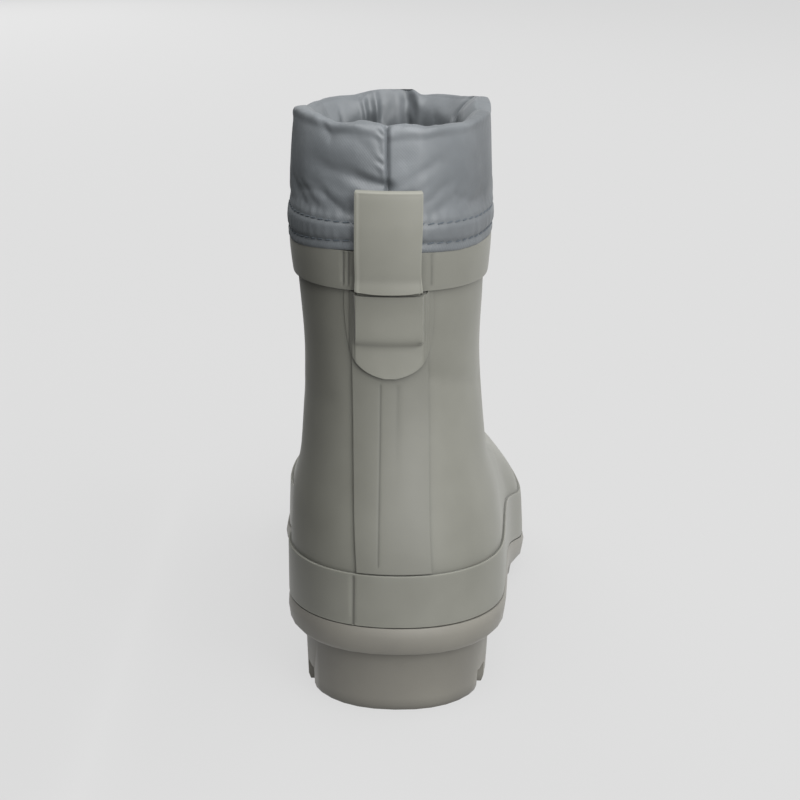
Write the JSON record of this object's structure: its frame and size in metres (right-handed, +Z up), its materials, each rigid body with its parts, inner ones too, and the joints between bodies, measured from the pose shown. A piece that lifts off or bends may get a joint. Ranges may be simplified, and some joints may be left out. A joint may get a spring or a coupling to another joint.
{
  "type": "rain boot",
  "caption": "Ankle-high right rain boot: hollow rubber upper on a lugged rubber sole with foxing strip, back stay and pull tab, and a padded nylon collar open at the top.",
  "frame": {"origin": "bottom centre of the boot's bounding box, on the floor under the sole", "axes": "+Y from heel to toe, +X to the lateral side of this right boot, +Z up the shaft"},
  "size_m": [0.1104, 0.284, 0.2314],
  "materials": {
    "rubber": "satin moulded rubber",
    "sole_rubber": "matt moulded rubber",
    "nylon": "plain woven nylon over padding",
    "foam": "cloth-topped foam"
  },
  "bodies": {
    "root": {"outsole": "sole_rubber", "foxing": "rubber", "upper": "rubber", "insole": "foam", "back_stay": "rubber", "top_band": "rubber", "collar": "nylon", "pull_tab": "rubber", "tab_patch": "rubber"}
  },
  "joints": []
}
